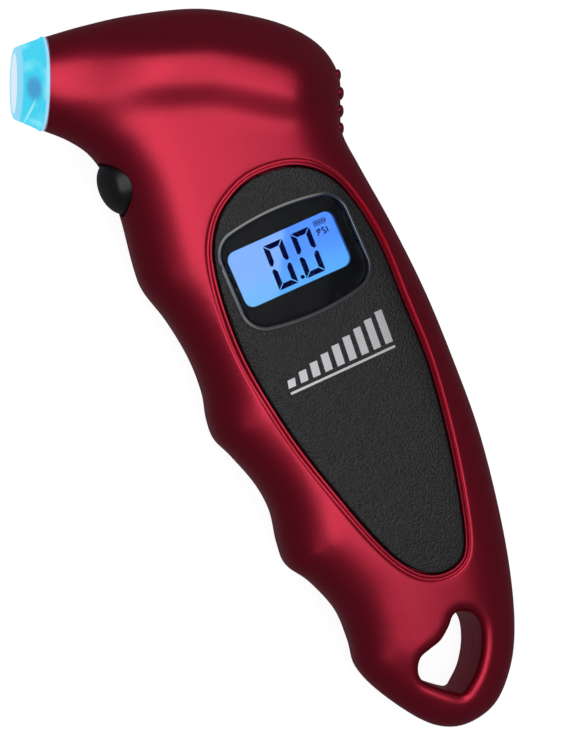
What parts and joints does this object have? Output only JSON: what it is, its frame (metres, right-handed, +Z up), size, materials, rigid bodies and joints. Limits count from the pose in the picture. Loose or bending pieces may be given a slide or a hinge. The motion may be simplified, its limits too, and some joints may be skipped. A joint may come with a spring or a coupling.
{
  "type": "tire pressure gauge",
  "caption": "Hand-held digital tire pressure gauge: two-part red casing with finger grip and lanyard hole, black face plate with lit display, push button, lit nozzle and turn-lock battery door.",
  "frame": {"origin": "under the middle of the gauge's box, on the surface that it lies on with its display up", "axes": "+Z up out of the display; the nozzle points along -X; the handle runs towards -Y and leans 24 degrees to +X; the longest extent is along Y"},
  "size_m": [0.1035, 0.1458, 0.0277],
  "materials": {
    "casing_red": "metallic red paint on moulded plastic, satin",
    "face_black": "black, fine leather grain",
    "window_clear": "clear acrylic window",
    "lcd_blue": "blue backlit liquid crystal glass, emissive",
    "white_plastic": "white moulded plastic",
    "black_plastic": "black, satin gloss",
    "inner_black": "black moulded plastic",
    "rubber": "soft black rubber",
    "board_green": "green circuit board",
    "steel": "nickel-plated steel",
    "brass": "machined brass",
    "nozzle_blue": "translucent pale blue, lit from inside, emissive",
    "hose_clear": "translucent silicone hose",
    "wire_red": "red wire insulation",
    "wire_black": "black wire insulation"
  },
  "bodies": {
    "casing": {"front_shell": "casing_red", "rear_shell": "casing_red", "face_panel": "face_black", "display_window": "window_clear", "lcd_glass": "lcd_blue", "light_guide": "white_plastic", "backlight_lamp": "white_plastic", "display_frame": "white_plastic", "contact_strip_upper": "rubber", "contact_strip_lower": "rubber", "circuit_board": "board_green", "controller_chip": "inner_black", "crystal_can": "steel", "pressure_sensor": "steel", "coin_cell": "steel", "battery_holder": "inner_black", "contact_negative": "brass", "contact_positive": "brass", "switch_body": "inner_black", "switch_board": "board_green", "switch_wire": "wire_black", "nozzle_lens": "nozzle_blue", "nozzle_chuck": "brass", "nozzle_seal": "rubber", "valve_pin": "brass", "lamp_board": "board_green", "nozzle_lamp_upper": "white_plastic", "nozzle_lamp_lower": "white_plastic", "air_hose": "hose_clear", "lamp_wire_red": "wire_red", "lamp_wire_black": "wire_black", "case_screw_1": "steel", "case_screw_2": "steel", "case_screw_3": "steel", "case_screw_4": "steel"},
    "button": {"button_cap": "black_plastic", "switch_plunger": "white_plastic"},
    "battery_door": {"battery_door": "black_plastic"}
  },
  "joints": [
    {"name": "button_press", "type": "slide", "parent": "casing", "child": "button", "axis": [0.9135, 0.4067, 0], "range_m": [0, 0.0006], "stiffness_N_per_m": 1500, "springref_m": -0.0004},
    {"name": "battery_door_turn", "type": "hinge", "parent": "casing", "child": "battery_door", "pos_m": [0.0101, 0.00705, 0.0017], "axis": [0, 0, -1], "range_deg": [0, 45]}
  ]
}
